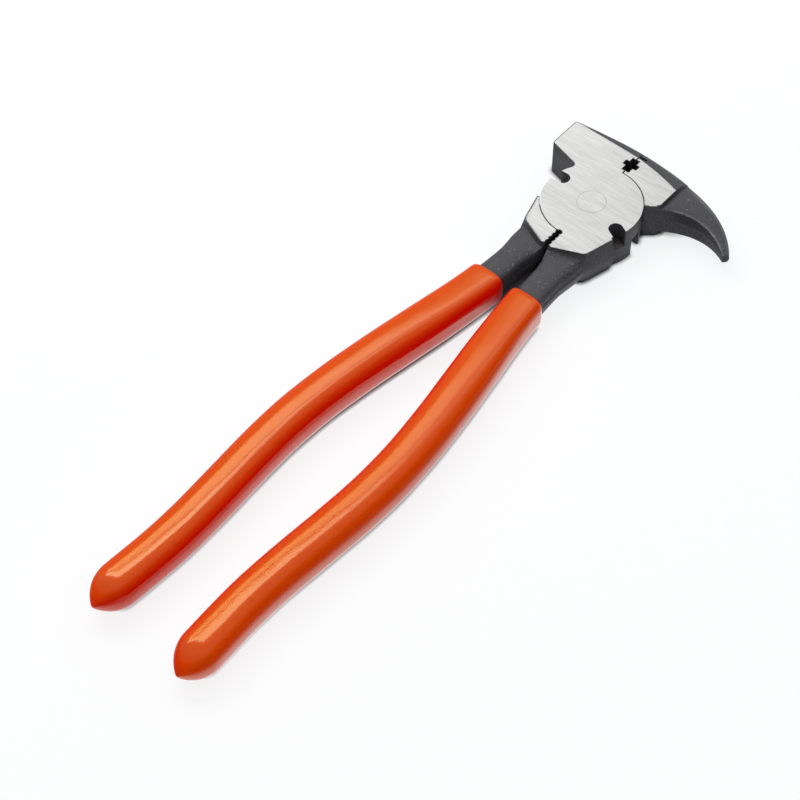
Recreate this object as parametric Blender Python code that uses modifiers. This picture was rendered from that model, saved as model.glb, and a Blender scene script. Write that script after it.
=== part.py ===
"""Fence pliers: a hammer lever and a claw lever lapped on one flush rivet, with dipped grips.

Metres. The origin is on the pivot axis at the back ground face. +Z comes out of the front face,
+Y runs from the pivot towards the head and +X towards the claw. The jaws are shut.

Both levers are drawn in one lever frame: the parting plane is z = 0, the lever's own lap disc is on
the +z side, its jaw lies towards -x and its handle towards +x. The claw lever's frame is turned half
a turn about Y, so that the two discs lap.
"""
import math

import bmesh
import bpy
from mathutils import Vector

# Head and lap joint
HEAD_THICKNESS = 0.0152
DISC_RADIUS = 0.0189
LAP_GAP = 0.0003
DISC_SIDES = 96

# Rivet, countersunk at both ends and ground flush
RIVET_HEAD_RADIUS = 0.0054
RIVET_SHANK_RADIUS = 0.0042
RIVET_HEAD_DEPTH = 0.0022
RIVET_GAP = 0.00008
RIVET_SIDES = 64

# Cross-shaped wire hole in the jaws' seam, from the disc's rim upwards
CROSS_LAND = 0.0017
CROSS_LENGTH = 0.0072
CROSS_WIDTH = 0.0031
CROSS_ARM_START = 0.0026
CROSS_ARM_LENGTH = 0.0023
CROSS_ARM_SPAN = 0.0060
JAW_LIP = 0.0009

# Rounded back of the head, past the ground faces
CROWN = 0.0069
CROWN_STEPS = 12
ROUND_STEPS = 2

# Hammer
HAMMER_REACH = 0.0302
HAMMER_FACE_HEIGHT = 0.0143
HAMMER_RISE = 0.0014
HAMMER_EDGE = 0.0005
HAMMER_LOWER_ROUND = 0.00015
HAMMER_CROWN = 0.0012
HAMMER_CROWN_POWER = 0.75
HAMMER_UNDERSIDE_ANGLE = math.radians(16.2)
THROAT_FILLET = 0.0021
THROAT_BITE = 0.00006
THROAT_ROOT = 0.0007
THROAT_WEB_LENGTH = 0.0063

# Claw
CLAW_FLAT_REACH = 0.0205
CLAW_REACH = 0.0513
CLAW_TIP_HEIGHT = 0.0150
CLAW_TIP_WIDTH = 0.0026
CLAW_ROOT_THICKNESS = 0.0120
CLAW_TIP_THICKNESS = 0.0036
CLAW_ROOT_HOLLOW = 0.0011
CLAW_TIP_HOLLOW = 0.0003
CLAW_FLAT_ROUND = 0.00025
CLAW_ROOT_ROUND = 0.0009
CLAW_TIP_ROUND = 0.0005
CLAW_BACK_SHARE = 0.42
CLAW_THROAT_ANGLE = math.radians(31.5)
CLAW_TAPER_POWER = 2.2
CLAW_BACK_LEAD_SHARE = 0.43
CLAW_BACK_REACH_SHARE = 0.82
CLAW_BACK_DROP_SHARE = 0.71
CLAW_INNER_LEAD_SHARE = 0.23
CLAW_INNER_PULL_SHARE = 0.41
CLAW_INNER_LIFT_SHARE = 0.31
CLAW_STEP_SHARE = 0.02

# Staple nick beside the seam, in the claw lever's back
NICK_LIP = 0.0008
NICK_LENGTH = 0.0033
NICK_WIDTH = 0.0011
NICK_DEPTH = 0.0026

# Wire-cutter slots in each lap disc
SLOT_RADIUS = 0.00275
SLOT_INSET = 0.0031
JAW_SLOT_ANGLE = math.radians(169.0)
JAW_SLOT_MOUTH = math.radians(184.0)
NECK_SLOT_ANGLE = math.radians(-19.5)
NECK_SLOT_MOUTH = math.radians(-27.0)

# Gripping teeth between the shoulders
TOOTH_COUNT = 4
TOOTH_PITCH = 0.0021
TOOTH_RADIUS = 0.00125
TOOTH_TOP = 0.0006
TOOTH_SIDES = 12
JAW_HALF_GAP = 0.00075

# Shoulders below the disc, ground on both faces
SHOULDER_WIDTH = 0.0139
SHOULDER_DROP = 0.0034
SHOULDER_TOP_ANGLE = math.radians(-31.0)
SHOULDER_STAND = 0.00115
SHOULDER_ROUND = 0.0014
SHOULDER_FILLET = 0.0017
SHOULDER_SKIRT = 0.0046
SHOULDER_SKIRT_DROP = 0.0021
SHOULDER_LEAN_SHARE = 0.30
FORGING_DRAFT_SHARE = 0.10

# Neck, and the tang that runs inside the grip
NECK_ROOT_WIDTH = 0.0138
NECK_WIDTH = 0.0112
NECK_THICKNESS = 0.0106
NECK_DROP = 0.0027
NECK_WAIST_DROP = 0.0100
TANG_END_WIDTH = 0.0098
TANG_END_THICKNESS = 0.0083
NECK_EXPONENT = 4.0
NECK_SIDES = 24

# Trimmed flash along the neck's parting line
FLASH_STAND = 0.00028
FLASH_LAND = 0.0010
FLASH_FOOT = 0.0018
FLASH_SIDE_SHARE = 0.999

# Handle's bow, measured down the handle from the neck
COLLAR_DROP = 0.0190
BOW_DROP = 0.1130
BOW_OUT = 0.0127
WAIST_DROP = 0.0570
WAIST_IN = 0.0030
TIP_DROP = 0.0334
TIP_OUT = 0.0013

# Dipped grip
GRIP_COLLAR_WALL = 0.0013
GRIP_WALL = 0.0022
GRIP_SWELL = 0.0450
GRIP_GAP = 0.0003
GRIP_HALF_GAP = 0.0016
GRIP_LIP = 0.0020
GRIP_LIP_ROUND = 0.0007
GRIP_END = 0.0074
GRIP_OGIVE = 0.0130
GRIP_OGIVE_POWER = 0.75
GRIP_DRIP_SHARE = 0.13
GRIP_DRIP_POWER = 8.0
GRIP_EXPONENT = 2.8
GRIP_SIDES = 28

# Heights and places worked out from the sizes above
HALF = HEAD_THICKNESS / 2
RIM = DISC_RADIUS + LAP_GAP
CROSS_FOOT = DISC_RADIUS + CROSS_LAND
SEAM_TOP = CROSS_FOOT + CROSS_LENGTH + JAW_LIP
BACK_TOP = SEAM_TOP + CROWN
HAMMER_TOP = SEAM_TOP + HAMMER_RISE
HAMMER_FOOT = HAMMER_TOP - HAMMER_FACE_HEIGHT
SHOULDER_FOOT = -DISC_RADIUS - TOOTH_COUNT * TOOTH_PITCH
NECK_Y = SHOULDER_FOOT - NECK_DROP
COLLAR_Y = NECK_Y - COLLAR_DROP
BOW_Y = NECK_Y - BOW_DROP
WAIST_Y = BOW_Y - WAIST_DROP
TIP_Y = WAIST_Y - TIP_DROP
TANG_END_Y = TIP_Y + GRIP_END
PAST = 0.002
SMOOTH_ANGLE = math.radians(32.0)


def mix(start, end, share):
    return start + (end - start) * share


def smooth(share):
    """Ease from 0 to 1 with level ends."""
    share = min(max(share, 0.0), 1.0)
    return share * share * (3.0 - 2.0 * share)


def bezier(points, share):
    a, b, c, d = points
    rest = 1.0 - share
    return a * rest**3 + b * (3 * rest**2 * share) + c * (3 * rest * share**2) + d * share**3


def share_at_x(points, x):
    """Share of a curve, rising in x, at which it passes x."""
    low, high = 0.0, 1.0
    for _ in range(50):
        middle = (low + high) / 2
        if bezier(points, middle).x < x:
            low = middle
        else:
            high = middle
    return low


def arc(centre, radius, start, end, steps):
    """Points on an arc of a circle in the plan view."""
    angles = [mix(start, end, i / steps) for i in range(steps + 1)]
    return [(centre[0] + radius * math.cos(a), centre[1] + radius * math.sin(a)) for a in angles]


def loft(name, rings):
    """Skin rings that have equal counts of points, and close both ends."""
    shape = bmesh.new()
    rows = [[shape.verts.new(point) for point in ring] for ring in rings]
    count = len(rows[0])
    for row, following in zip(rows, rows[1:]):
        for i in range(count):
            j = (i + 1) % count
            shape.faces.new((row[i], row[j], following[j], following[i]))
    shape.faces.new(rows[0])
    shape.faces.new(rows[-1])
    bmesh.ops.recalc_face_normals(shape, faces=shape.faces)
    mesh = bpy.data.meshes.new(name)
    shape.to_mesh(mesh)
    shape.free()
    return mesh


def plate(name, outline, low, high):
    """Mesh of a flat outline, filled and extruded from one height to another."""
    curve = bpy.data.curves.new(name, "CURVE")
    curve.dimensions = "2D"
    curve.fill_mode = "BOTH"
    curve.extrude = (high - low) / 2
    spline = curve.splines.new("POLY")
    spline.points.add(len(outline) - 1)
    spline.use_cyclic_u = True
    for point, (x, y) in zip(spline.points, outline):
        point.co = (x, y, 0.0, 1.0)
    source = bpy.data.objects.new(name, curve)
    mesh = bpy.data.meshes.new_from_object(source)
    bpy.data.objects.remove(source)
    shape = bmesh.new()
    shape.from_mesh(mesh)
    bmesh.ops.remove_doubles(shape, verts=shape.verts, dist=1e-7)
    bmesh.ops.translate(shape, verts=shape.verts, vec=(0.0, 0.0, (low + high) / 2))
    bmesh.ops.recalc_face_normals(shape, faces=shape.faces)
    shape.to_mesh(mesh)
    shape.free()
    return mesh


def drum(name, radius, low, high, sides, centre=(0.0, 0.0)):
    """Mesh of an upright cylinder."""
    shape = bmesh.new()
    bmesh.ops.create_cone(shape, cap_ends=True, segments=sides, radius1=radius, radius2=radius,
                          depth=high - low)
    bmesh.ops.translate(shape, verts=shape.verts, vec=(centre[0], centre[1], (low + high) / 2))
    mesh = bpy.data.meshes.new(name)
    shape.to_mesh(mesh)
    shape.free()
    return mesh


def box(name, x_span, y_span, z_span):
    """Mesh of a box between two corners."""
    outline = [(x_span[0], y_span[0]), (x_span[1], y_span[0]), (x_span[1], y_span[1]),
               (x_span[0], y_span[1])]
    return plate(name, outline, z_span[0], z_span[1])


def turn(thing, sides):
    """Turn an object's profile about its z axis."""
    screw = thing.modifiers.new("turn", "SCREW")
    screw.axis = "Z"
    screw.angle = 2 * math.pi
    screw.steps = sides
    screw.render_steps = sides
    screw.use_merge_vertices = True
    screw.merge_threshold = 1e-6


def finish(name, colour, roughness, metallic):
    material = bpy.data.materials.new(name)
    material.use_nodes = True
    shader = material.node_tree.nodes["Principled BSDF"]
    shader.inputs["Base Color"].default_value = (*colour, 1.0)
    shader.inputs["Roughness"].default_value = roughness
    shader.inputs["Metallic"].default_value = metallic
    return material


def empty(name, collection, location, rotation):
    frame = bpy.data.objects.new(name, None)
    frame.location = location
    frame.rotation_euler = rotation
    collection.objects.link(frame)
    return frame


def place(name, mesh, collection, frame):
    thing = bpy.data.objects.new(name, mesh)
    thing.parent = frame
    collection.objects.link(thing)
    return thing


def place_part(name, mesh, collection, frame, material):
    mesh.shade_smooth()
    mesh.set_sharp_from_angle(angle=SMOOTH_ANGLE)
    part = place(name, mesh, collection, frame)
    part.data.materials.append(material)
    return part


class Shaping:
    """Boolean steps on one part, with their tools kept hidden beside it."""

    def __init__(self, part, collection, frame):
        self.part = part
        self.collection = collection
        self.frame = frame

    def apply(self, operation, label, mesh):
        tool = place(f"{self.part.name}_{label}", mesh, self.collection, self.frame)
        tool.hide_render = True
        tool.display_type = "WIRE"
        step = self.part.modifiers.new(label, "BOOLEAN")
        step.operation = operation
        step.solver = "EXACT"
        step.object = tool
        return tool

    def join(self, label, mesh):
        return self.apply("UNION", label, mesh)

    def cut(self, label, mesh):
        return self.apply("DIFFERENCE", label, mesh)


def jaw_ring(inner, back, half, crown, edge_round, hollow=0.0):
    """Section of a jaw from its rounded inner edges to its rounded back, across the parting plane."""
    along = (back - inner).normalized()
    edge = back - along * crown
    wall = inner + along * hollow
    corner = []
    for i in range(ROUND_STEPS + 1):
        angle = math.pi / 2 * i / ROUND_STEPS
        point = inner + along * (edge_round * (1.0 - math.sin(angle)))
        corner.append((point.x, point.y, half - edge_round * (1.0 - math.cos(angle))))
    ring = [(wall.x, wall.y, 0.0)] + corner[::-1]
    for i in range(CROWN_STEPS + 1):
        angle = math.pi / 2 - math.pi * i / CROWN_STEPS
        point = edge + along * (crown * math.cos(angle))
        ring.append((point.x, point.y, half * math.sin(angle)))
    return ring + [(x, y, -z) for x, y, z in corner]


def underside(x):
    """Height of the hammer's lower wall at x."""
    return HAMMER_FOOT - (x + HAMMER_REACH) * math.tan(HAMMER_UNDERSIDE_ANGLE)


def hammer_mesh(name):
    """Hammer block: square at the striking face, rounded over the back towards the seam."""
    seam = -LAP_GAP / 2
    body = -HAMMER_REACH + HAMMER_EDGE
    steps = 9
    rings = []
    for i in range(steps + 1):
        share = i / steps
        x = mix(body, seam, share)
        crown = mix(HAMMER_CROWN, CROWN, math.sin(share * math.pi / 2)**HAMMER_CROWN_POWER)
        top = mix(HAMMER_TOP, SEAM_TOP, share) + crown
        rings.append(jaw_ring(Vector((x, underside(x))), Vector((x, top)), HALF, crown, HAMMER_LOWER_ROUND))
    low = Vector((-HAMMER_REACH, HAMMER_FOOT + HAMMER_EDGE))
    top = Vector((-HAMMER_REACH, HAMMER_TOP + HAMMER_CROWN - HAMMER_EDGE))
    strike = jaw_ring(low, top, HALF - HAMMER_EDGE, HAMMER_CROWN, HAMMER_LOWER_ROUND)
    return loft(name, [strike] + rings)


def throat_web_outline():
    """Corner fillet between the hammer's lower wall and the lap disc's rim, let a little into both."""
    angle = HAMMER_UNDERSIDE_ANGLE
    along = Vector((math.cos(angle), -math.sin(angle)))
    down = Vector((-math.sin(angle), -math.cos(angle)))
    stand = THROAT_FILLET - THROAT_BITE
    start = Vector((-HAMMER_REACH, HAMMER_FOOT)) + down * stand
    reach = DISC_RADIUS + stand
    run = -start.dot(along) - math.sqrt(start.dot(along)**2 - start.length_squared + reach**2)
    centre = start + along * run
    to_wall = math.atan2(-down.y, -down.x)
    to_rim = math.atan2(-centre.y, -centre.x)
    curve = arc(centre, THROAT_FILLET, to_wall, to_rim, 10)
    length = along * THROAT_WEB_LENGTH
    root = centre - down * (THROAT_FILLET + THROAT_ROOT)
    return curve + [(point.x, point.y) for point in (centre + length, root + length, root)]


def claw_curves():
    """Inner and back curves of the claw in plan, drawn towards +x."""
    throat = Vector((math.cos(CLAW_THROAT_ANGLE), math.sin(CLAW_THROAT_ANGLE))) * RIM
    tip = Vector((CLAW_REACH, CLAW_TIP_HEIGHT))
    heel = tip - Vector((math.cos(math.pi / 4), math.sin(math.pi / 4))) * CLAW_TIP_WIDTH
    drop = BACK_TOP - CLAW_TIP_HEIGHT
    back = (
        Vector((0.0, BACK_TOP)),
        Vector((CLAW_BACK_LEAD_SHARE * CLAW_REACH, BACK_TOP)),
        Vector((CLAW_BACK_REACH_SHARE * CLAW_REACH, CLAW_TIP_HEIGHT + CLAW_BACK_DROP_SHARE * drop)),
        tip,
    )
    run = heel.x - throat.x
    inner = (
        throat,
        throat + Vector((CLAW_INNER_LEAD_SHARE, CLAW_INNER_LEAD_SHARE)) * run,
        heel + Vector((-CLAW_INNER_PULL_SHARE, CLAW_INNER_LIFT_SHARE)) * run,
        heel,
    )
    return inner, back


def claw_mesh(name):
    """Claw jaw: full thickness up to the end of its ground face, then a tapering hook."""
    inner, back = claw_curves()
    throat = inner[0]
    rings = []

    def add(inner_point, back_point, half, crown, edge_round, hollow):
        inner_point = Vector((-inner_point.x, inner_point.y))
        back_point = Vector((-back_point.x, back_point.y))
        rings.append(jaw_ring(inner_point, back_point, half, crown, edge_round, hollow))

    head_steps = 6
    flat_crown = CLAW_BACK_SHARE * (bezier(back, share_at_x(back, CLAW_FLAT_REACH)).y - throat.y)
    for i in range(head_steps + 1):
        x = mix(LAP_GAP / 2, CLAW_FLAT_REACH, i / head_steps)
        low = Vector((x, throat.y * x / throat.x))
        if x > throat.x:
            low = bezier(inner, share_at_x(inner, x))
        crown = mix(CROWN, flat_crown, i / head_steps)
        add(low, bezier(back, share_at_x(back, x)), HALF, crown, CLAW_FLAT_ROUND, 0.0)

    inner_start = share_at_x(inner, CLAW_FLAT_REACH)
    back_start = share_at_x(back, CLAW_FLAT_REACH)
    hook_steps = 14
    for i in range(hook_steps + 1):
        share = mix(CLAW_STEP_SHARE, 1.0, i / hook_steps)
        inner_point = bezier(inner, mix(inner_start, 1.0, share))
        back_point = bezier(back, mix(back_start, 1.0, share))
        half = mix(CLAW_ROOT_THICKNESS, CLAW_TIP_THICKNESS, share**CLAW_TAPER_POWER) / 2
        crown = CLAW_BACK_SHARE * (back_point - inner_point).length
        edge_round = mix(CLAW_ROOT_ROUND, CLAW_TIP_ROUND, share)
        add(inner_point, back_point, half, crown, edge_round, mix(CLAW_ROOT_HOLLOW, CLAW_TIP_HOLLOW, share))
    return loft(name, rings)


def nick_outline():
    """Round-ended nick that runs from the seam towards the claw, past the jaw's front lip."""
    radius = NICK_WIDTH / 2
    centre = (radius - NICK_LENGTH, SEAM_TOP + NICK_LIP + radius)
    curve = arc(centre, radius, math.pi / 2, 3 * math.pi / 2, 8)
    return curve + [(PAST, centre[1] - radius), (PAST, centre[1] + radius)]


def slot_outline(angle, mouth):
    """Round-ended slot, from near the disc's rim out past it in the direction of its mouth."""
    reach = DISC_RADIUS - SLOT_INSET
    centre = Vector((reach * math.cos(angle), reach * math.sin(angle)))
    out = Vector((math.cos(mouth), math.sin(mouth))) * (2 * SLOT_INSET + SLOT_RADIUS)
    side = Vector((-math.sin(mouth), math.cos(mouth))) * SLOT_RADIUS
    ends = [centre + out - side, centre + out + side]
    curve = arc(centre, SLOT_RADIUS, mouth + math.pi / 2, mouth + 3 * math.pi / 2, 14)
    return curve + [(end.x, end.y) for end in ends]


def shoulder_outline():
    """Points of the ground shoulder below the lap disc, each with its way along the fillet to the neck."""
    reach = DISC_RADIUS + SHOULDER_STAND
    top = Vector((math.cos(SHOULDER_TOP_ANGLE), math.sin(SHOULDER_TOP_ANGLE))) * reach
    corner = Vector((SHOULDER_WIDTH, -DISC_RADIUS - SHOULDER_DROP))
    heel = Vector((JAW_HALF_GAP + SHOULDER_ROUND, SHOULDER_FOOT))
    before = corner + (heel - corner).normalized() * SHOULDER_ROUND
    after = corner + (top - corner).normalized() * SHOULDER_ROUND
    turned = []
    corner_steps = 4
    for i in range(corner_steps + 1):
        t = i / corner_steps
        point = before * (1 - t)**2 + corner * (2 * t * (1 - t)) + after * t**2
        turned.append((point, Vector((-SHOULDER_LEAN_SHARE * (1.0 - t), t - 1.0))))
    inner_top = Vector((JAW_HALF_GAP, -DISC_RADIUS / 2))
    inner_foot = Vector((JAW_HALF_GAP, SHOULDER_FOOT + SHOULDER_ROUND / 2))
    lean = Vector((SHOULDER_LEAN_SHARE, -1.0))
    still = Vector((0.0, 0.0))
    return [(inner_top, still), (inner_foot, lean), (heel, lean), *turned, (top, still), (top / 2, still)]


def shoulder_mesh(name):
    """Shoulder with forging draft, widest at the parting plane, filleted down to the neck."""
    outline = shoulder_outline()
    root = outline[0][0]
    neck_depth = HALF - NECK_THICKNESS / 2
    levels = [(0.0, 0.0)]
    for degrees in (0, 45, 90):
        angle = math.radians(degrees)
        depth = neck_depth - SHOULDER_FILLET * (1.0 - math.sin(angle))
        levels.append((depth, SHOULDER_FILLET * (1.0 - math.cos(angle))))
    for degrees in (50, 90):
        angle = math.radians(degrees)
        depth = neck_depth + SHOULDER_SKIRT_DROP * (1.0 - math.cos(angle))
        levels.append((depth, SHOULDER_FILLET + (SHOULDER_SKIRT - SHOULDER_FILLET) * math.sin(angle)))
    levels.append((HALF, SHOULDER_SKIRT))
    front = []
    for depth, skirt in levels:
        grow = 1.0 + FORGING_DRAFT_SHARE * depth / HALF
        points = [root + (point - root) * grow + move * skirt for point, move in outline]
        front.append([(point.x, point.y, HALF - depth) for point in points])
    back = [[(x, y, -z) for x, y, z in ring] for ring in front[:-1]]
    return loft(name, front + back[::-1])


def bow_x(y):
    """Offset of the handle's centreline from its neck, at a distance y along the handle."""
    if y > BOW_Y:
        return BOW_OUT * smooth((NECK_Y - y) / BOW_DROP)
    if y > WAIST_Y:
        return BOW_OUT - WAIST_IN * smooth((BOW_Y - y) / WAIST_DROP)
    return BOW_OUT - WAIST_IN + TIP_OUT * smooth((WAIST_Y - y) / TIP_DROP)


def handle_x(y):
    """Centreline of the handle, set so that the two grips clear each other at their collars."""
    collar_x = GRIP_HALF_GAP + NECK_WIDTH / 2 + GRIP_GAP + GRIP_COLLAR_WALL
    return collar_x + bow_x(y) - bow_x(COLLAR_Y)


def handle_size(y):
    """Centre, width and thickness of the bare handle at y."""
    blend = smooth((SHOULDER_FOOT - y) / NECK_WAIST_DROP)
    root_x = JAW_HALF_GAP + NECK_ROOT_WIDTH / 2
    taper = min(max((COLLAR_Y - y) / (COLLAR_Y - TANG_END_Y), 0.0), 1.0)
    width = mix(mix(NECK_ROOT_WIDTH, NECK_WIDTH, blend), TANG_END_WIDTH, taper)
    thickness = mix(NECK_THICKNESS, TANG_END_THICKNESS, taper)
    return mix(root_x, handle_x(y), blend), width, thickness


def rounded_square(exponent, sides):
    """Points of a unit rounded square, counter-clockwise from its +x side."""
    points = []
    for i in range(sides):
        angle = 2 * math.pi * i / sides
        wide = math.copysign(abs(math.cos(angle))**(2 / exponent), math.cos(angle))
        tall = math.copysign(abs(math.sin(angle))**(2 / exponent), math.sin(angle))
        points.append((wide, tall))
    return points


def handle_frame(y):
    """Centre, direction across, half width and half thickness of the bare handle at y."""
    x, width, thickness = handle_size(max(y, TANG_END_Y))
    if y < TANG_END_Y:
        x = handle_x(y)
    step = 0.0005
    lean = smooth((COLLAR_Y - y) / GRIP_SWELL)
    across = Vector((2 * step, lean * (handle_x(y - step) - handle_x(y + step)))).normalized()
    return Vector((x, y)), across, width / 2, thickness / 2


def handle_ring(y, grow):
    """Section of the neck or tang, with the trimmed flash on both sides above the collar."""
    centre, across, half_width, half_thickness = handle_frame(y)
    stand = 0.0
    if y > COLLAR_Y:
        stand = FLASH_STAND
    foot = FLASH_FOOT / 2
    land = FLASH_LAND / 2
    ring = []
    for wide, tall in rounded_square(NECK_EXPONENT, NECK_SIDES):
        reach = wide * (half_width + grow)
        section = [(reach, tall * (half_thickness + grow))]
        if abs(wide) > FLASH_SIDE_SHARE:
            proud = math.copysign(abs(reach) + stand, reach)
            section = [(reach, -foot), (proud, -land), (proud, land), (reach, foot)]
            if reach < 0.0:
                section.reverse()
        for out, z in section:
            point = centre + across * out
            ring.append((point.x, point.y, z))
    return ring


def handle_mesh(name, grow):
    """Neck and tang, from inside the shoulder to the tang's end."""
    root_y = -DISC_RADIUS - grow
    neck_steps = 9
    tang_steps = 12
    stations = [mix(root_y, COLLAR_Y, i / neck_steps) for i in range(neck_steps)]
    stations += [mix(COLLAR_Y, TANG_END_Y - grow, i / tang_steps) for i in range(tang_steps + 1)]
    return loft(name, [handle_ring(y, grow) for y in stations])


def grip_ring(y, grow, scale):
    """Section of the grip's outside, a wall's thickness clear of the tang."""
    centre, across, half_width, half_thickness = handle_frame(y)
    ring = []
    for wide, tall in rounded_square(GRIP_EXPONENT, GRIP_SIDES):
        point = centre + across * (wide * (half_width + grow) * scale)
        ring.append((point.x, point.y, tall * (half_thickness + grow) * scale))
    return ring


def grip_grow(y):
    """Distance from the tang to the grip's outside, which swells down from the collar."""
    return GRIP_GAP + mix(GRIP_COLLAR_WALL, GRIP_WALL, smooth((COLLAR_Y - y) / GRIP_SWELL))


def grip_mesh(name):
    """Outside of a dipped grip: rounded collar, bowed length and a drawn-out drip at the end."""
    rings = []
    lip_steps = 4
    for i in range(lip_steps):
        share = i / lip_steps
        y = COLLAR_Y - GRIP_LIP * share
        round_off = GRIP_LIP_ROUND * (1.0 - math.sqrt(1.0 - (1.0 - share)**2))
        rings.append(grip_ring(y, grip_grow(y) - round_off, 1.0))
    ogive_y = TIP_Y + GRIP_OGIVE
    length_steps = 24
    for i in range(length_steps):
        y = mix(COLLAR_Y - GRIP_LIP, ogive_y, i / length_steps)
        rings.append(grip_ring(y, grip_grow(y), 1.0))
    ogive_steps = 10
    for i in range(ogive_steps):
        share = math.sin(math.pi / 2 * i / ogive_steps)
        y = mix(ogive_y, TIP_Y, share)
        ogive = (1.0 - share**2)**GRIP_OGIVE_POWER
        drip = math.sqrt(1.0 - share**GRIP_DRIP_POWER)
        rings.append(grip_ring(y, grip_grow(y), mix(ogive, drip, GRIP_DRIP_SHARE)))
    return loft(name, rings)


def rivet_profile(name, grow, past):
    """Half section of the rivet, down its outer side, with both ends countersunk."""
    head = RIVET_HEAD_RADIUS + grow
    shank = RIVET_SHANK_RADIUS + grow
    seat = HALF - RIVET_HEAD_DEPTH
    points = [(0.0, HALF + past), (head, HALF + past), (shank, seat), (shank, -seat),
              (head, -HALF - past), (0.0, -HALF - past)]
    if past > 0.0:
        points.insert(2, (head, HALF))
        points.insert(5, (head, -HALF))
    mesh = bpy.data.meshes.new(name)
    edges = [(i, i + 1) for i in range(len(points) - 1)]
    mesh.from_pydata([(r, 0.0, z) for r, z in points], edges, [])
    return mesh


def build_lever(name, jaw, parts, cutters, frame, material, web=None):
    """Forged lever: jaw, lap disc, shoulder, neck and tang joined, then machined."""
    lever = place_part(name, jaw, parts, frame, material)
    shaping = Shaping(lever, cutters, frame)
    if web:
        shaping.join("throat_web", plate("throat_web", web, -HALF, HALF))
    shaping.join("shoulder", shoulder_mesh("shoulder"))
    shaping.join("handle", handle_mesh("handle", 0.0))
    shaping.cut("recess", drum("recess", RIM, -HALF - PAST, LAP_GAP / 2, DISC_SIDES))
    shaping.join("lap_disc", drum("lap_disc", DISC_RADIUS, LAP_GAP / 2, HALF, DISC_SIDES))
    past_faces = (-HALF - PAST, HALF + PAST)
    shaping.cut("jaw_slot", plate("jaw_slot", slot_outline(JAW_SLOT_ANGLE, JAW_SLOT_MOUTH), *past_faces))
    shaping.cut("neck_slot", plate("neck_slot", slot_outline(NECK_SLOT_ANGLE, NECK_SLOT_MOUTH), *past_faces))
    stem = (CROSS_FOOT, CROSS_FOOT + CROSS_LENGTH)
    shaping.cut("cross_stem", box("cross_stem", (-CROSS_WIDTH / 2, CROSS_WIDTH / 2), stem, past_faces))
    arm = (CROSS_FOOT + CROSS_ARM_START, CROSS_FOOT + CROSS_ARM_START + CROSS_ARM_LENGTH)
    shaping.cut("cross_arm", box("cross_arm", (-CROSS_ARM_SPAN / 2, CROSS_ARM_SPAN / 2), arm, past_faces))
    for i in range(TOOTH_COUNT):
        centre = (0.0, -DISC_RADIUS - TOOTH_TOP - i * TOOTH_PITCH)
        shaping.cut(f"tooth_{i + 1}", drum("tooth", TOOTH_RADIUS, *past_faces, TOOTH_SIDES, centre))
    hole = shaping.cut("rivet_hole", rivet_profile("rivet_hole", RIVET_GAP, PAST))
    turn(hole, RIVET_SIDES)
    return shaping


def build_grip(name, parts, cutters, frame, material):
    grip = place_part(name, grip_mesh(name), parts, frame, material)
    Shaping(grip, cutters, frame).cut("bore", handle_mesh("bore", GRIP_GAP))


def main():
    for thing in list(bpy.data.objects):
        bpy.data.objects.remove(thing)
    parts = bpy.data.collections.new("fence_pliers")
    cutters = bpy.data.collections.new("fence_pliers_cutters")
    for collection in (parts, cutters):
        bpy.context.scene.collection.children.link(collection)

    pivot = (0.0, 0.0, HALF)
    hammer_frame = empty("hammer_lever_pivot", parts, pivot, (0.0, 0.0, 0.0))
    claw_frame = empty("claw_lever_pivot", parts, pivot, (0.0, math.pi, 0.0))
    forged = finish("blackened_forging", (0.045, 0.045, 0.048), 0.5, 0.6)
    bright = finish("ground_steel", (0.62, 0.62, 0.60), 0.3, 1.0)
    vinyl = finish("orange_vinyl", (0.83, 0.11, 0.01), 0.28, 0.0)

    build_lever("hammer_lever", hammer_mesh("hammer_jaw"), parts, cutters, hammer_frame, forged,
                web=throat_web_outline())
    claw = build_lever("claw_lever", claw_mesh("claw_jaw"), parts, cutters, claw_frame, forged)
    claw.cut("staple_nick", plate("staple_nick", nick_outline(), -HALF - PAST, NICK_DEPTH - HALF))
    build_grip("hammer_lever_grip", parts, cutters, hammer_frame, vinyl)
    build_grip("claw_lever_grip", parts, cutters, claw_frame, vinyl)
    rivet = place_part("pivot_rivet", rivet_profile("rivet", 0.0, 0.0), parts, claw_frame, bright)
    turn(rivet, RIVET_SIDES)


main()
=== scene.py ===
"""Fence pliers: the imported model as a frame, with smooth dipped grips, finishes and studio light.

The camera stands where the photo's did.
"""

import math

import bpy
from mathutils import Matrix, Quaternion, Vector


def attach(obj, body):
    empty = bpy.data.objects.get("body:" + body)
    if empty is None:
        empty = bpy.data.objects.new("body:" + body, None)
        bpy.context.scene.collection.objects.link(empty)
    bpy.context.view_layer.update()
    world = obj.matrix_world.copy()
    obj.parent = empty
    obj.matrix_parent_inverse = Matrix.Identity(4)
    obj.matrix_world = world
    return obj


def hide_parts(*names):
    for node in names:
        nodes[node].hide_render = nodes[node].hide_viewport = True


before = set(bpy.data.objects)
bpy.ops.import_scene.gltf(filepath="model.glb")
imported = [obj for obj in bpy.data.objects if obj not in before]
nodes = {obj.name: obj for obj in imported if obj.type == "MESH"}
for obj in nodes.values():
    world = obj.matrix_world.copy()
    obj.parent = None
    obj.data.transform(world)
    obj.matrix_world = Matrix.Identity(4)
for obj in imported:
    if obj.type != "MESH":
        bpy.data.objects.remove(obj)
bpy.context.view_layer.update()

# Sizes, in metres, as in the solids
HEAD_THICKNESS = 0.0152
NECK_Y = -0.0300
COLLAR_Y = -0.0490
BOW_Y = -0.1430
WAIST_Y = -0.2000
TIP_Y = -0.2334
BOW_OUT = 0.0127
WAIST_IN = 0.0030
TIP_OUT = 0.0013
HANDLE_X = 0.0088
NECK_WIDTH = 0.0112
NECK_THICKNESS = 0.0106
TANG_END_WIDTH = 0.0098
TANG_END_THICKNESS = 0.0083
TANG_END_Y = TIP_Y + 0.0074
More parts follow.
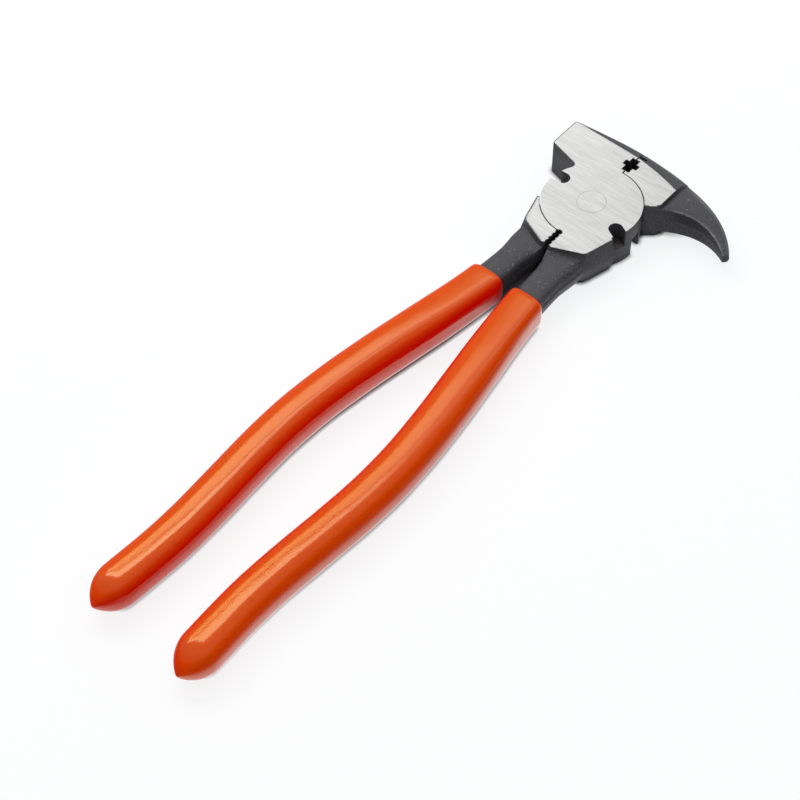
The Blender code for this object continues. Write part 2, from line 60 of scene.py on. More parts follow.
NECK_EXPONENT = 4.0

# Dipped grip, with a finer skin than the solid's
GRIP_GAP = 0.0003
GRIP_COLLAR_WALL = 0.0013
GRIP_WALL = 0.0022
GRIP_SWELL = 0.0450
GRIP_LIP = 0.0020
GRIP_LIP_ROUND = 0.0007
GRIP_END = 0.0118
GRIP_END_POWER = 2.2
GRIP_END_ROUND = 0.76
GRIP_NUB_SHARE = 0.165
GRIP_NUB_BLEND = 4.0
GRIP_NUB_POWER = 18.0
GRIP_EXPONENT = 2.8
GRIP_COLLAR_EXPONENT = 3.8
GRIP_SIDES = 120
GRIP_LIP_STEPS = 10
GRIP_LENGTH_STEPS = 110
GRIP_END_STEPS = 36
GRIP_BORE_STEPS = 24
GRIP_RIPPLE = 0.000015
RIPPLE_SHORT = 310.0
RIPPLE_LONG = 173.0
RIPPLE_LONG_SHARE = 0.6
RIPPLE_LONG_SHIFT = 1.0

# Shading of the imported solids
JOIN_DISTANCE = 0.000002
SMOOTH_ANGLE = math.radians(32)
FLAT_NORMAL = 0.9995

# Ground steel
GROUND_DEPTH = 0.00006
GRIND_TURN = math.radians(7.0)
GRIND_HAIR = (150, 6000, 1)
GRIND_LINE = (90, 2600, 1)
GRIND_BAND = (20, 300, 1)
GROUND_ROUGHNESS = (0.48, 0.62)
GROUND_DARK = (0.46, 0.46, 0.455, 1)
GROUND_LIGHT = (0.80, 0.80, 0.79, 1)

# Forging scale and its wear, with painted shade in recesses and under the claw's overhang, painted light on
# level faces and painted highlights on the claw, with each grain in waves per metre
FORGING_DARK = (0.020, 0.020, 0.023, 1)
FORGING_LIGHT = (0.095, 0.095, 0.106, 1)
FORGING_ROUGHNESS = (0.36, 0.50)
# Lighter black for level faces, as painted light
LEVEL_FACE_PAINTED_LIGHT = (0.15, 0.15, 0.165, 1)
# Pale steel for worn edges and specks, also used for painted highlights on the claw
WORN_STEEL_AND_HIGHLIGHT = (0.34, 0.34, 0.35, 1)
# Near black used as painted shade in recesses and under the claw's overhang
PAINTED_SHADE_BLACK = (0.004, 0.004, 0.0045, 1)
RUST = (0.19, 0.125, 0.075, 1)
FORGING_GRAIN = 1700.0
BLOTCH_GRAIN = 140.0
SPECK_GRAIN = 1300.0
SCUFF_GRAIN = 420.0
RAGGED_GRAIN = 450.0
RUST_GRAIN = 700.0
DISC_RADIUS = 0.0190
SHOULDER_TOP_Y = 0.0060
SHOULDER_EDGE = 0.0014
THROAT_ANGLE = math.radians(31.5)
RAGGED_DEPTH = 0.0022
PAINTED_SHADE_REACH = 0.0050
EDGE_RADIUS = 0.0005
CLAW_START_X = 0.0215
CLAW_BLEND = 0.006
NECK_START_Y = -0.0245
NECK_BLEND = 0.004
RUST_PLACE = (0.0160, -0.0052, 0.0074)
RUST_RADIUS = 0.0026

# Vinyl: its colours, with painted shade on the flanks, deepest on the inner ones and lighter on the outer
# ones, its gloss by the slope of the surface, and the nick
VINYL_TOP_DARK = (0.87, 0.080, 0.0006, 1)
VINYL_TOP_LIGHT = (0.92, 0.088, 0.0008, 1)
VINYL_TINT = (0.55, 0.47, 0.08, 1)
VINYL_ROUGHNESS = (0.12, 0.14)
VINYL_CLOUD = 60.0
VINYL_GRAIN = 1400.0
VINYL_WAVE = 110.0
VINYL_POLISH = 300.0
VINYL_RELIEF = 0.004
NICK_COLOUR = (0.80, 0.24, 0.07, 1)
NICK_PLACE = (-0.0213, -0.1452, 0.0147)
NICK_LENGTH = 0.0036
NICK_WIDTH = 0.00045
NICK_WANDER = 0.002
CROWN_NORMAL = (0.80, 0.95)
LEFT_NORMAL = (-0.25, -0.08)
RIGHT_NORMAL = (-0.08, 0.12)
BELLY_NORMAL = (0.45, 0.05)
CROWN_GLOSS = 0.75
FLANK_GLOSS = 0.30
CROWN_COAT = (0.03, 0.60)
BELLY_COAT = 0.8
OUTWARD_NORMAL = (-0.4, 0.4)
INNER_FLANK_PAINTED_SHADE = (0.89, 0.007, 0.0003, 1)
OUTER_FLANK_PAINTED_LIGHT = (0.97, 0.065, 0.0004, 1)
PAINTED_FLANK_POWER = 3.0

# Camera
CAMERA_LENS = 76.5
CAMERA_SENSOR = 36.0
CAMERA_TARGET = Vector((0.00582, -0.11408, 0.0152))
CAMERA_DISTANCE = 0.56971
CAMERA_HEADING = math.radians(42.585)
CAMERA_PITCH = math.radians(52.764)
CAMERA_ROLL = math.radians(-2.161)
CAMERA_CLIP = 0.01
AWAY = Vector((-math.sin(CAMERA_HEADING), math.cos(CAMERA_HEADING), 0.0))

# Light: two level panels over the far side of the table, one beyond the other and long across the view
LAMP_HEIGHT = 1.0
LAMP_WIDTH = 1.6
NEAR_PANEL = (0.275, 0.455)
FAR_PANEL = (0.505, 0.92)
NEAR_RADIANCE = 5.8
FAR_RADIANCE = 5.6
NEAR_FADE = (-0.25, 0.20, 0.10)
FAR_FADE = (-0.60, 0.40, 0.12)
NEAR_SOFTNESS = 0.05
FAR_SOFTNESS = 0.55
WORLD_LOW = 0.14
WORLD_HIGH = 0.50
WORLD_RISE = (0.06, 0.60)
BACK_WALL = 0.30
BACK_WALL_TURN = (0.15, 0.70)
FLOOR_SIDE = 40.0
FLOOR_DROP = 0.0001
FLOOR_TINT = (0.985, 0.99, 1.0, 1)
FLOOR_WHITE = 0.86
FLOOR_SHARE = 0.20
FLOOR_LIFT = 0.838
# Floor lift that fades in contact and crevice occlusion: painted contact shadow, and painted shade in the gap
# between the necks
CONTACT_REACH = 0.0021
CONTACT_OPEN = (0.42, 0.97)
CREVICE_REACH = 0.020
CREVICE_OPEN = (0.30, 0.80)
CREVICE_X = (0.006, 0.010)
CREVICE_Y = (-0.058, -0.048)
CREVICE_TOP_Y = (0.000, -0.010)
# Glow of the floor as seen in reflections, brightest along the handles: a painted reflection in the grips'
# lower flanks
FLOOR_GLOSS_LIFT = 1.0
FLOOR_GLOSS_REACH = (0.006, 0.024)
FLOOR_GLOSS_PAST = 0.3
FLOOR_GLOSS_FAR = 0.15
FLOOR_GLOSS_HEAD = 0.65


# Small helpers for node trees

class Tree:
    """Node tree of a material, lamp or world, with short calls for the nodes used here."""

    def __init__(self, owner, shader):
        owner.use_nodes = True
        self.owner = owner
        self.tree = owner.node_tree
        self.shader = self.tree.nodes[shader]

    def node(self, kind, inputs=None, **settings):
        made = self.tree.nodes.new(kind)
        for key, value in settings.items():
            setattr(made, key, value)
        for key, value in (inputs or {}).items():
            self.put(made.inputs[key], value)
        return made

    def put(self, socket, value):
        if isinstance(value, bpy.types.NodeSocket):
            self.tree.links.new(value, socket)
        else:
            socket.default_value = value

    def shade(self, key, value):
        self.put(self.shader.inputs[key], value)

    def coordinates(self):
        return self.node("ShaderNodeTexCoord").outputs["Object"]

    def split(self, vector):
        return self.node("ShaderNodeSeparateXYZ", {"Vector": vector}).outputs

    def mapped(self, vector, scale=(1, 1, 1), turn=(0, 0, 0)):
        made = self.node("ShaderNodeMapping", {"Vector": vector, "Scale": scale, "Rotation": turn})
        return made.outputs["Vector"]

    def noise(self, vector, scale, detail=3.0, roughness=0.5):
        inputs = {"Vector": vector, "Scale": scale, "Detail": detail, "Roughness": roughness}
        return self.node("ShaderNodeTexNoise", inputs).outputs["Fac"]

    def vector(self, operation, first, second):
        made = self.node("ShaderNodeVectorMath", operation=operation)
        self.put(made.inputs[0], first)
        self.put(made.inputs[1], second)
        return made.outputs["Value"]

    def math(self, operation, first, second=0.0):
        made = self.node("ShaderNodeMath", operation=operation)
        self.put(made.inputs[0], first)
        self.put(made.inputs[1], second)
        return made.outputs[0]

    def both(self, *masks):
        """Product of several masks."""
        result = masks[0]
        for mask in masks[1:]:
            result = self.math("MULTIPLY", result, mask)
        return result

    def range(self, value, low, high, to_low=0.0, to_high=1.0, curve="LINEAR"):
        inputs = {"Value": value, "From Min": low, "From Max": high, "To Min": to_low, "To Max": to_high}
        made = self.node("ShaderNodeMapRange", inputs, clamp=True, interpolation_type=curve)
        return made.outputs["Result"]

    def ease(self, value, low, high, to_low=0.0, to_high=1.0):
        return self.range(value, low, high, to_low, to_high, "SMOOTHSTEP")

    def mix(self, share, first, second):
        made = self.node("ShaderNodeMix", data_type="RGBA")
        self.put(made.inputs["Factor"], share)
        self.put(made.inputs["A"], first)
        self.put(made.inputs["B"], second)
        return made.outputs["Result"]

    def blend(self, share, first, second):
        made = self.node("ShaderNodeMix", data_type="FLOAT")
        self.put(made.inputs[0], share)
        self.put(made.inputs[2], first)
        self.put(made.inputs[3], second)
        return made.outputs[0]

    def bump(self, height, strength, distance, normal=None):
        inputs = {"Height": height, "Strength": strength, "Distance": distance}
        made = self.node("ShaderNodeBump", inputs)
        if normal is not None:
            self.put(made.inputs["Normal"], normal)
        return made.outputs["Normal"]


def material_tree(name):
    return Tree(bpy.data.materials.new(name), "Principled BSDF")


def grey(level):
    return (level, level, level, 1.0)


# Finishes

def grinding(tree, place):
    """Grinding lines across the tool: sets the shader's direction, returns the fine relief and the colour."""
    turn = (0, 0, -GRIND_TURN)
    hair = tree.noise(tree.mapped(place, GRIND_HAIR, turn), 1.0, 3.0, 0.6)
    line = tree.noise(tree.mapped(place, GRIND_LINE, turn), 1.0, 3.0, 0.6)
    band = tree.noise(tree.mapped(place, GRIND_BAND, turn), 1.0, 2.0)
    fine = tree.math("ADD", tree.math("MULTIPLY", hair, 0.45), tree.math("MULTIPLY", line, 0.55))
    streak = tree.math("ADD", tree.math("MULTIPLY", fine, 0.82), tree.math("MULTIPLY", band, 0.18))
    sides = {"X": -math.sin(GRIND_TURN), "Y": math.cos(GRIND_TURN), "Z": 0.0}
    across = tree.node("ShaderNodeCombineXYZ", sides)
    turned = tree.node("ShaderNodeVectorTransform", {"Vector": across.outputs[0]}, vector_type="VECTOR",
                       convert_from="OBJECT", convert_to="WORLD")
    tree.shade("Anisotropic", 0.8)
    tree.shade("Tangent", turned.outputs[0])
    return fine, tree.mix(tree.range(streak, 0.36, 0.64), GROUND_DARK, GROUND_LIGHT)


def lever_material():
    """Black forging scale with wear on its edges, and ground steel on the two faces of the head. Recesses and
    the claw's downward upper facets get painted shade, level faces painted light, the claw's back crown a
    painted highlight, and its inner ridge wear with a painted highlight.
    """
    tree = material_tree("forged_and_ground_steel")
    place = tree.coordinates()
    x, y, z = tree.split(place)
    shape = tree.node("ShaderNodeNewGeometry")
    upright = tree.math("ABSOLUTE", tree.split(shape.outputs["True Normal"])[2])
    rounded = tree.node("ShaderNodeBevel", {"Radius": EDGE_RADIUS}, samples=6).outputs["Normal"]
    bend = tree.vector("DOT_PRODUCT", rounded, shape.outputs["Normal"])
    edge = tree.range(bend, 0.985, 0.90)
    rim = tree.range(bend, 0.998, 0.96)
    left = tree.both(tree.math("LESS_THAN", x, 0.0), tree.math("LESS_THAN", y, SHOULDER_TOP_Y))
    broad = tree.node("ShaderNodeBevel", {"Radius": SHOULDER_EDGE}, samples=6).outputs["Normal"]
    rim = tree.math("MAXIMUM", rim, tree.both(left, tree.range(tree.split(broad)[0], -0.04, -0.16)))
    radius = tree.math("SQRT", tree.math("ADD", tree.both(x, x), tree.both(y, y)))
    beyond = tree.math("GREATER_THAN", radius, DISC_RADIUS)

    top = tree.math("GREATER_THAN", z, HEAD_THICKNESS - GROUND_DEPTH)
    foot = tree.math("LESS_THAN", z, GROUND_DEPTH)
    ground = tree.both(tree.math("MAXIMUM", top, foot), tree.math("GREATER_THAN", upright, 0.9))
    ragged = tree.range(tree.noise(place, RAGGED_GRAIN, 1.0), 0.3, 0.7, 0.0, RAGGED_DEPTH)
    rise = tree.both(y, math.cos(THROAT_ANGLE))
    above = tree.math("SUBTRACT", rise, tree.both(x, math.sin(THROAT_ANGLE)))
    right = tree.math("GREATER_THAN", x, DISC_RADIUS / 2)
    throat = tree.both(right, tree.math("GREATER_THAN", y, 0.0), beyond)
    scaled = tree.both(tree.math("LESS_THAN", above, ragged), throat)
    dark = tree.math("MAXIMUM", scaled, tree.both(rim, beyond))
    ground = tree.both(ground, tree.math("SUBTRACT", 1.0, dark))
    fine, bright = grinding(tree, place)

    grain = tree.noise(place, FORGING_GRAIN, 4.0, 0.65)
    blotch = tree.noise(place, BLOTCH_GRAIN, 3.0)
    black = tree.mix(tree.range(grain, 0.34, 0.68), FORGING_DARK, FORGING_LIGHT)
    black = tree.mix(tree.range(blotch, 0.35, 0.70, 0.0, 0.4), black, FORGING_LIGHT)

    claw = tree.range(x, CLAW_START_X, CLAW_START_X + CLAW_BLEND)
    necks = tree.range(y, NECK_START_Y, NECK_START_Y - NECK_BLEND)
    used = tree.math("MAXIMUM", claw, necks)
    speck = tree.range(tree.noise(place, SPECK_GRAIN, 1.0), 0.70, 0.75)
    speck = tree.both(speck, tree.blend(used, 0.15, 0.7))
    scuff = tree.range(tree.noise(place, SCUFF_GRAIN, 4.0, 0.7), 0.45, 0.60)
    tilt = tree.split(shape.outputs["Normal"])
    # The claw's sloping faces: the pale line on the inner ridge is partly wear and partly a painted
    # highlight, and the pale zone on the back crown is a painted highlight.
    slope = tree.both(tree.range(tilt[2], 0.15, 0.40), tree.range(tilt[2], 0.965, 0.90), claw)
    inward = tree.math("LESS_THAN", tilt[1], 0.0)
    ridge_wear_and_highlight = tree.both(slope, inward, tree.range(scuff, 0.0, 1.0, 0.35, 1.0))
    back_highlight = tree.both(slope, tree.math("SUBTRACT", 1.0, inward), tree.range(blotch, 0.30, 0.60, 0.1, 0.3))
    wear_and_highlight = tree.math("MAXIMUM", speck, tree.both(edge, scuff, tree.blend(used, 0.15, 0.8)))
    wear_and_highlight = tree.math("MAXIMUM", wear_and_highlight, tree.math("MAXIMUM", ridge_wear_and_highlight, back_highlight))
    # Painted light: faces that lie level are painted up to a quarter lighter than the walls.
    level_painted_light = tree.range(tree.math("ABSOLUTE", tilt[2]), 0.5, 0.9, 0.0, 0.25)
    black = tree.mix(level_painted_light, black, LEVEL_FACE_PAINTED_LIGHT)
    black = tree.mix(wear_and_highlight, black, WORN_STEEL_AND_HIGHLIGHT)
    # Painted shade: the claw's upper facets that face down, and recesses found by ambient occlusion, are
    # painted near black.
    facing = tree.split(shape.outputs["True Normal"])[2]
    upper = tree.math("GREATER_THAN", z, HEAD_THICKNESS / 2)
    painted_overhang_shade = tree.both(tree.range(facing, -0.03, -0.10), upper, claw)
    black = tree.mix(tree.both(painted_overhang_shade, 0.75), black, PAINTED_SHADE_BLACK)
    hidden = tree.node("ShaderNodeAmbientOcclusion", {"Distance": PAINTED_SHADE_REACH}, samples=6, only_local=True)
    black = tree.mix(tree.range(hidden.outputs["AO"], 0.75, 0.25), black, PAINTED_SHADE_BLACK)

    stain = tree.range(tree.vector("DISTANCE", place, RUST_PLACE), RUST_RADIUS, RUST_RADIUS * 0.3)
    stain = tree.both(stain, tree.range(tree.noise(place, RUST_GRAIN, 4.0), 0.42, 0.60))
    black = tree.mix(stain, black, RUST)

    tree.shade("Base Color", tree.mix(ground, black, bright))
    tree.shade("Metallic", ground)
    rough_ground = tree.range(fine, 0.3, 0.7, *GROUND_ROUGHNESS)
    rough_black = tree.range(blotch, 0.3, 0.7, *FORGING_ROUGHNESS)
    tree.shade("Roughness", tree.blend(ground, rough_black, rough_ground))
    relief = tree.blend(ground, grain, tree.math("MULTIPLY", fine, 0.15))
    turned = tree.node("ShaderNodeMix", {"Factor": ground}, data_type="VECTOR")
    tree.put(turned.inputs[4], rounded)
    tree.put(turned.inputs[5], shape.outputs["Normal"])
    tree.shade("Normal", tree.bump(relief, 0.6, 0.0003, turned.outputs[1]))
    tree.shade("Specular IOR Level", 0.25)
    return tree.owner


def rivet_material():
    tree = material_tree("ground_rivet_steel")
    fine, bright = grinding(tree, tree.coordinates())
    tree.shade("Base Color", bright)
    tree.shade("Metallic", 1.0)
    tree.shade("Roughness", tree.range(fine, 0.3, 0.7, *GROUND_ROUGHNESS))
    tree.shade("Normal", tree.bump(fine, 0.1, 0.0002))
    return tree.owner


def vinyl_material():
    """Glossy dipped vinyl, duller on the flanks, with a small nick; its flanks are painted a deeper red than
    its top, as painted shade on the inner flanks and painted light on the outer ones.
    """
    tree = material_tree("dipped_orange_vinyl")
    place = tree.coordinates()
    x, y, z = tree.split(place)
    cloud = tree.noise(place, VINYL_CLOUD, 3.0)
    fine = tree.noise(place, VINYL_GRAIN, 2.0)
    wave = tree.noise(place, VINYL_WAVE, 2.0)

    along = tree.math("ABSOLUTE", tree.math("SUBTRACT", x, NICK_PLACE[0]))
    side = tree.math("SUBTRACT", y, NICK_PLACE[1])
    side = tree.math("ADD", side, tree.math("MULTIPLY", tree.math("SUBTRACT", wave, 0.5), NICK_WANDER))
    nick = tree.both(tree.range(along, NICK_LENGTH / 2, NICK_LENGTH / 3),
                     tree.range(tree.math("ABSOLUTE", side), NICK_WIDTH / 2, NICK_WIDTH / 5),
                     tree.math("GREATER_THAN", z, HEAD_THICKNESS / 2))

    facing = tree.split(tree.node("ShaderNodeTexCoord").outputs["Normal"])
    level = tree.math("ABSOLUTE", facing[2])
    right = tree.math("SUBTRACT", facing[0], facing[1])
    crown = tree.both(tree.range(facing[2], *CROWN_NORMAL), tree.range(right, *LEFT_NORMAL))
    belly = tree.range(facing[2], *BELLY_NORMAL)
    top_colour = tree.mix(cloud, VINYL_TOP_DARK, VINYL_TOP_LIGHT)
    # Painted shade: the flanks take a deeper red than the level top, darkest on the inner flanks, with
    # painted light on the outer ones.
    outward = tree.both(tree.math("SIGN", x), facing[0])
    painted_flank = tree.mix(tree.range(outward, *OUTWARD_NORMAL), INNER_FLANK_PAINTED_SHADE, OUTER_FLANK_PAINTED_LIGHT)
    colour = tree.mix(tree.math("POWER", level, PAINTED_FLANK_POWER), painted_flank, top_colour)
    tree.shade("Base Color", tree.mix(nick, colour, NICK_COLOUR))
    tree.shade("Roughness", tree.range(tree.noise(place, VINYL_POLISH, 3.0), 0.3, 0.7, *VINYL_ROUGHNESS))
    tree.shade("IOR", 1.5)
    gloss = tree.math("MAXIMUM", crown, belly)
    tree.shade("Specular IOR Level", tree.range(gloss, 0.0, 1.0, FLANK_GLOSS, CROWN_GLOSS))
    tree.shade("Specular Tint", VINYL_TINT)
    coat = tree.both(crown, tree.range(right, *RIGHT_NORMAL, *CROWN_COAT))
    tree.shade("Coat Weight", tree.math("MAXIMUM", coat, tree.both(belly, BELLY_COAT)))
    tree.shade("Coat Roughness", 0.10)
    tree.shade("Subsurface Weight", 0.35)
    tree.shade("Subsurface Radius", (1.0, 0.12, 0.05))
    tree.shade("Subsurface Scale", 0.004)
    soft = tree.bump(wave, VINYL_RELIEF, 0.0004)
    dent = tree.bump(tree.math("SUBTRACT", 1.0, nick), 0.5, 0.0002, soft)
    tree.shade("Normal", tree.bump(fine, VINYL_RELIEF, 0.0001, dent))
    return tree.owner


# Shapes

def smooth_group():
    """Joins the frame's split corners and shades all but the sharp edges and the level faces smoothly."""
    group = bpy.data.node_groups.new("join_and_smooth", "GeometryNodeTree")
    group.interface.new_socket("Geometry", in_out="INPUT", socket_type="NodeSocketGeometry")
    group.interface.new_socket("Geometry", in_out="OUTPUT", socket_type="NodeSocketGeometry")
    source = group.nodes.new("NodeGroupInput")
    target = group.nodes.new("NodeGroupOutput")
    join = group.nodes.new("GeometryNodeMergeByDistance")
    join.inputs["Distance"].default_value = JOIN_DISTANCE
    forget = group.nodes.new("GeometryNodeRemoveAttribute")
    forget.inputs["Name"].default_value = "custom_normal"
    faces = group.nodes.new("GeometryNodeSetShadeSmooth")
    edges = group.nodes.new("GeometryNodeSetShadeSmooth")
    edges.domain = "EDGE"
    normal = group.nodes.new("GeometryNodeInputNormal")
    split = group.nodes.new("ShaderNodeSeparateXYZ")
    level = group.nodes.new("ShaderNodeMath")
    level.operation = "ABSOLUTE"
    tilted = group.nodes.new("FunctionNodeCompare")
    tilted.operation = "LESS_THAN"
    tilted.inputs["B"].default_value = FLAT_NORMAL
    angle = group.nodes.new("GeometryNodeInputMeshEdgeAngle")
    below = group.nodes.new("FunctionNodeCompare")
    below.operation = "LESS_THAN"
    below.inputs["B"].default_value = SMOOTH_ANGLE
    link = group.links.new
    link(source.outputs[0], join.inputs["Geometry"])
    link(join.outputs["Geometry"], forget.inputs["Geometry"])
    link(forget.outputs["Geometry"], faces.inputs["Geometry"])
    link(normal.outputs["Normal"], split.inputs["Vector"])
    link(split.outputs["Z"], level.inputs[0])
    link(level.outputs[0], tilted.inputs["A"])
    link(tilted.outputs["Result"], faces.inputs["Shade Smooth"])
    link(faces.outputs["Geometry"], edges.inputs["Geometry"])
    link(angle.outputs["Unsigned Angle"], below.inputs["A"])
    link(below.outputs["Result"], edges.inputs["Shade Smooth"])
    link(edges.outputs["Geometry"], target.inputs[0])
    return group


def dress(node, material, group):
    thing = nodes[node]
    thing.data.materials.clear()
    thing.data.materials.append(material)
    smoothing = thing.modifiers.new("join_and_smooth", "NODES")
    smoothing.node_group = group


def mix(start, end, share):
    return start + (end - start) * share


def smooth(share):
    share = min(max(share, 0.0), 1.0)
    return share * share * (3.0 - 2.0 * share)


def bow_x(y):
    """Offset of the handle's centreline from its neck, at a distance y along the handle."""
    if y > BOW_Y:
        return BOW_OUT * smooth((NECK_Y - y) / (NECK_Y - BOW_Y))
    if y > WAIST_Y:
        return BOW_OUT - WAIST_IN * smooth((BOW_Y - y) / (BOW_Y - WAIST_Y))
    return BOW_OUT - WAIST_IN + TIP_OUT * smooth((WAIST_Y - y) / (WAIST_Y - TIP_Y))


def handle_x(y):
    return HANDLE_X + bow_x(y) - bow_x(COLLAR_Y)


def ring(y, grow, scale, exponent):
    """Rounded section round the handle at y, a distance grow outside the tang, on the hammer lever's side."""
    step = 0.0005
    lean = smooth((COLLAR_Y - y) / GRIP_SWELL)
    across = Vector((2 * step, lean * (handle_x(y - step) - handle_x(y + step)))).normalized()
    taper = min(max((COLLAR_Y - y) / (COLLAR_Y - TANG_END_Y), 0.0), 1.0)
    half_width = (mix(NECK_WIDTH, TANG_END_WIDTH, taper) / 2 + grow) * scale
    half_height = (mix(NECK_THICKNESS, TANG_END_THICKNESS, taper) / 2 + grow) * scale
    points = []
    for i in range(GRIP_SIDES):
        turn = 2 * math.pi * i / GRIP_SIDES
        wide = math.copysign(abs(math.cos(turn))**(2 / exponent), math.cos(turn)) * half_width
        tall = math.copysign(abs(math.sin(turn))**(2 / exponent), math.sin(turn)) * half_height
        points.append((handle_x(y) + across.x * wide, y + across.y * wide, HEAD_THICKNESS / 2 + tall))
    return points


def outside(y):
    """Distance from the tang to the grip's outside, which swells below the collar and ripples a little."""
    wall = mix(GRIP_COLLAR_WALL, GRIP_WALL, smooth((COLLAR_Y - y) / GRIP_SWELL))
    ripple = math.sin(y * RIPPLE_SHORT) + RIPPLE_LONG_SHARE * math.sin(y * RIPPLE_LONG + RIPPLE_LONG_SHIFT)
    return GRIP_GAP + wall + GRIP_RIPPLE * ripple * smooth((COLLAR_Y - y) / GRIP_SWELL)


def squareness(y):
    """Squareness of the grip's section: squarer at the collar, where the dip follows the neck."""
    return mix(GRIP_COLLAR_EXPONENT, GRIP_EXPONENT, smooth((COLLAR_Y - y) / GRIP_SWELL))


def grip_rings():
    """Sections of a grip: up the bore, over the rounded lip, down the outside and round the drip."""
    rings = []
    for i in range(GRIP_BORE_STEPS + 1):
        y = mix(TANG_END_Y - GRIP_GAP, COLLAR_Y, i / GRIP_BORE_STEPS)
        rings.append(ring(y, GRIP_GAP, 1.0, NECK_EXPONENT))
    for i in range(GRIP_LIP_STEPS):
        angle = math.pi / 2 * i / GRIP_LIP_STEPS
        y = COLLAR_Y - GRIP_LIP * (1.0 - math.cos(angle))
        rings.append(ring(y, outside(y) - GRIP_LIP_ROUND * (1.0 - math.sin(angle)), 1.0, squareness(y)))
    end_y = TIP_Y + GRIP_END
    for i in range(GRIP_LENGTH_STEPS):
        y = mix(COLLAR_Y - GRIP_LIP, end_y, i / GRIP_LENGTH_STEPS)
        rings.append(ring(y, outside(y), 1.0, squareness(y)))
    for i in range(GRIP_END_STEPS):
        share = math.sin(math.pi / 2 * i / GRIP_END_STEPS)
        y = mix(end_y, TIP_Y, share)
        body = (1.0 - share**GRIP_END_POWER)**GRIP_END_ROUND
        nub = GRIP_NUB_SHARE * math.sqrt(1.0 - share**GRIP_NUB_POWER)
        scale = (body**GRIP_NUB_BLEND + nub**GRIP_NUB_BLEND)**(1 / GRIP_NUB_BLEND)
        rings.append(ring(y, outside(y), scale, GRIP_EXPONENT))
    return rings


def make_grip(name, node, body, side, material):
    """Smooth grip in place of a solid one. The claw lever's is the hammer lever's, half a turn about Y."""
    points = []
    for section in grip_rings():
        for x, y, z in section:
            points.append((x * side, y, mix(HEAD_THICKNESS - z, z, (1 + side) / 2)))
    count = len(points) // GRIP_SIDES
    faces = [tuple(range(GRIP_SIDES))]
    for row in range(count - 1):
        for i in range(GRIP_SIDES):
            after = (i + 1) % GRIP_SIDES
            faces.append((row * GRIP_SIDES + i, (row + 1) * GRIP_SIDES + i,
                          (row + 1) * GRIP_SIDES + after, row * GRIP_SIDES + after))
    faces.append(tuple(range(len(points) - 1, len(points) - GRIP_SIDES - 1, -1)))
    mesh = bpy.data.meshes.new(name)
    mesh.from_pydata(points, [], faces)
    mesh.shade_smooth()
    mesh.materials.append(material)
    grip = bpy.data.objects.new(name, mesh)
    bpy.context.scene.collection.objects.link(grip)
    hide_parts(node)
    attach(grip, body)


# Table, light and camera

def make_floor():
    mesh = bpy.data.meshes.new("floor")
    half = FLOOR_SIDE / 2
    corners = [(-half, -half, 0), (half, -half, 0), (half, half, 0), (-half, half, 0)]
    mesh.from_pydata(corners, [], [(0, 1, 2, 3)])
    floor = bpy.data.objects.new("floor", mesh)
    bpy.context.scene.collection.objects.link(floor)
    floor.location.z = -FLOOR_DROP
    tree = material_tree("white_table")
    path = tree.node("ShaderNodeLightPath").outputs
    seen = tree.math("MAXIMUM", path["Is Camera Ray"], path["Is Glossy Ray"])
    tree.shade("Base Color", tree.mix(seen, grey(FLOOR_WHITE), grey(FLOOR_SHARE)))
    tree.shade("Roughness", 0.9)
    tree.shade("Specular IOR Level", 0.0)
    # The lift fades where ambient occlusion is low, and between the necks also with the wider occlusion:
    # painted contact shadow and painted shade in the gap.
    contact = tree.node("ShaderNodeAmbientOcclusion", {"Distance": CONTACT_REACH}, samples=12).outputs["AO"]
    crevice = tree.node("ShaderNodeAmbientOcclusion", {"Distance": CREVICE_REACH}, samples=8).outputs["AO"]
    x, y, _ = tree.split(tree.coordinates())
    between = tree.both(tree.range(tree.math("ABSOLUTE", x), *CREVICE_X, 1.0, 0.0),
                        tree.range(y, *CREVICE_Y), tree.range(y, *CREVICE_TOP_Y))
    open_share = tree.blend(between, 1.0, tree.range(crevice, *CREVICE_OPEN))
    # Painted reflection: glossy rays see the floor glow brightest next to the handles, fading with distance
    # from them and past the tips.
    handle = tree.range(y, COLLAR_Y, BOW_Y, HANDLE_X, handle_x(BOW_Y))
    beside = tree.math("ABSOLUTE", tree.math("SUBTRACT", tree.math("ABSOLUTE", x), handle))
    past = tree.math("MAXIMUM", tree.math("SUBTRACT", TIP_Y + GRIP_END / 2, y), 0.0)
    far = tree.range(y, *CREVICE_Y, FLOOR_GLOSS_FAR, FLOOR_GLOSS_HEAD)
    distance = tree.math("ADD", beside, tree.both(past, FLOOR_GLOSS_PAST))
    gloss = tree.range(distance, *FLOOR_GLOSS_REACH, FLOOR_GLOSS_LIFT, far)
    lift = tree.both(path["Is Camera Ray"], FLOOR_LIFT)
    lift = tree.math("ADD", lift, tree.both(path["Is Glossy Ray"], gloss))
    tree.shade("Emission Color", FLOOR_TINT)
    tree.shade("Emission Strength", tree.both(lift, open_share, tree.range(contact, *CONTACT_OPEN)))
    floor.data.materials.append(tree.owner)


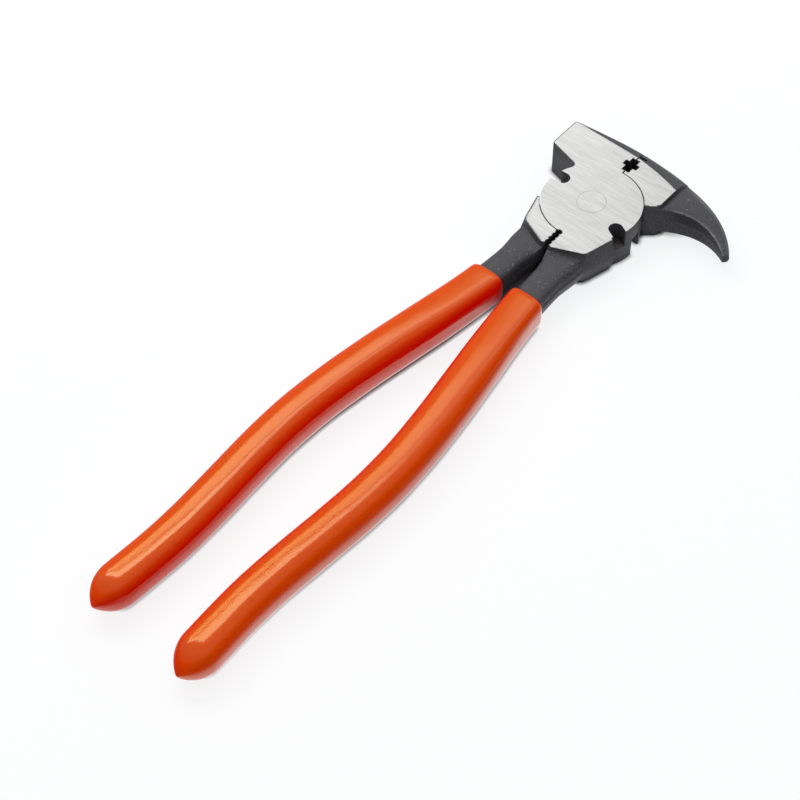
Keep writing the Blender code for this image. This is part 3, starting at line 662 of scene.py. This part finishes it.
def make_panel(name, reach, radiance, fade, softness):
    """Level panel between two distances beyond the tool, dimmer to its right and far sides."""
    lamp = bpy.data.lights.new(name, "AREA")
    lamp.shape = "RECTANGLE"
    lamp.size = LAMP_WIDTH
    lamp.size_y = reach[1] - reach[0]
    lamp.energy = radiance * math.pi * lamp.size * lamp.size_y
    tree = Tree(lamp, "Emission")
    x, y, _ = tree.split(tree.node("ShaderNodeNewGeometry").outputs["Parametric"])
    start, end, low = fade
    sideways = tree.ease(x, start / LAMP_WIDTH + 0.5, end / LAMP_WIDTH + 0.5, 1.0, low)
    tree.shade("Strength", tree.both(sideways, tree.ease(y, 1.0 - softness, 1.0, 1.0, 0.0)))
    panel = bpy.data.objects.new(name, lamp)
    bpy.context.scene.collection.objects.link(panel)
    panel.location = AWAY * (reach[0] + reach[1]) / 2 + Vector((0, 0, LAMP_HEIGHT))
    panel.rotation_euler = (0, 0, CAMERA_HEADING)


def make_world():
    """Room light that is dark near the horizon, paler overhead and on the wall behind the tool."""
    world = bpy.data.worlds.new("studio")
    tree = Tree(world, "Background")
    place = tree.node("ShaderNodeTexCoord").outputs["Generated"]
    overhead = tree.ease(tree.split(place)[2], *WORLD_RISE, WORLD_LOW, WORLD_HIGH)
    wall = tree.ease(tree.vector("DOT_PRODUCT", place, AWAY), *BACK_WALL_TURN, 0.0, BACK_WALL)
    tree.shade("Color", grey(1.0))
    tree.shade("Strength", tree.math("ADD", overhead, wall))
    bpy.context.scene.world = world


def make_camera():
    data = bpy.data.cameras.new("camera")
    data.sensor_width = CAMERA_SENSOR
    data.sensor_fit = "HORIZONTAL"
    data.lens = CAMERA_LENS
    data.clip_start = CAMERA_CLIP
    camera = bpy.data.objects.new("camera", data)
    bpy.context.scene.collection.objects.link(camera)
    forward = AWAY * math.cos(CAMERA_PITCH) - Vector((0, 0, math.sin(CAMERA_PITCH)))
    camera.location = CAMERA_TARGET - forward * CAMERA_DISTANCE
    turn = forward.to_track_quat("-Z", "Y") @ Quaternion((0, 0, 1), CAMERA_ROLL)
    camera.rotation_euler = turn.to_euler()
    bpy.context.scene.camera = camera


def main():
    group = smooth_group()
    steel = lever_material()
    dress("hammer_lever", steel, group)
    dress("claw_lever", steel, group)
    dress("pivot_rivet", rivet_material(), group)
    vinyl = vinyl_material()
    make_grip("smooth_hammer_grip", "hammer_lever_grip", "hammer_half", 1, vinyl)
    make_grip("smooth_claw_grip", "claw_lever_grip", "claw_half", -1, vinyl)
    make_floor()
    make_panel("near_panel", NEAR_PANEL, NEAR_RADIANCE, NEAR_FADE, NEAR_SOFTNESS)
    make_panel("far_panel", FAR_PANEL, FAR_RADIANCE, FAR_FADE, FAR_SOFTNESS)
    make_world()
    make_camera()
    bpy.context.scene.view_settings.view_transform = "Standard"


main()
